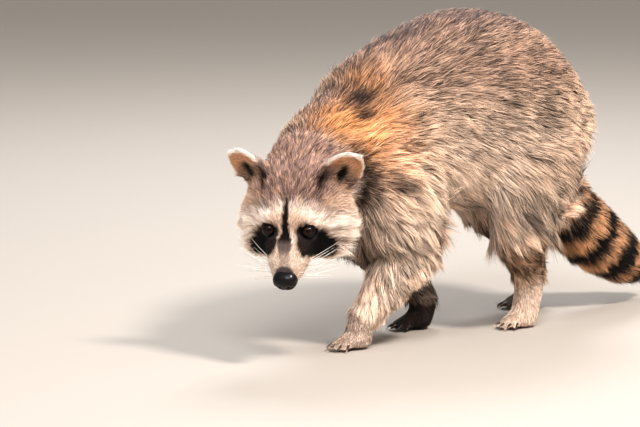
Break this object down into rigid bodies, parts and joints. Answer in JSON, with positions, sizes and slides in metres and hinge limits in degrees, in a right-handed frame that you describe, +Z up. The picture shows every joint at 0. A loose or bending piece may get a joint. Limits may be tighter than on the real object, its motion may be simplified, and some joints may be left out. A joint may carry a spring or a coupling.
{
  "type": "raccoon",
  "caption": "Life-size still model of a raccoon in mid-walk, with arched back, low head turned to its left, ringed tail and dark face mask.",
  "frame": {"origin": "middle of the bounding box, on the floor under the animal", "axes": "+Z up, the animal faces -Y, and its left side is at +X; its head is turned 37 degrees towards +X"},
  "size_m": [0.1998, 0.5722, 0.3414],
  "materials": {
    "coat": "grizzled fur, cream and grey with dark brown tips",
    "pale": "pale cream fur",
    "dark": "dark brown to black fur",
    "eye": "wet, glossy dark brown",
    "nose": "moist black skin"
  },
  "bodies": {
    "root": {"trunk": "coat", "neck": "coat", "head": "coat", "nose": "nose", "eye_left": "eye", "eye_right": "eye", "ear_left": "pale", "ear_right": "pale", "tail_base": "dark", "tail_middle": "coat", "tail_tip": "dark", "upperarm_left": "coat", "upperarm_right": "coat", "thigh_left": "coat", "thigh_right": "coat", "forearm_left": "pale", "forearm_right": "dark", "forepaw_left": "pale", "forepaw_right": "dark", "shank_left": "pale", "shank_right": "dark", "hindpaw_left": "pale", "hindpaw_right": "dark"}
  },
  "joints": []
}
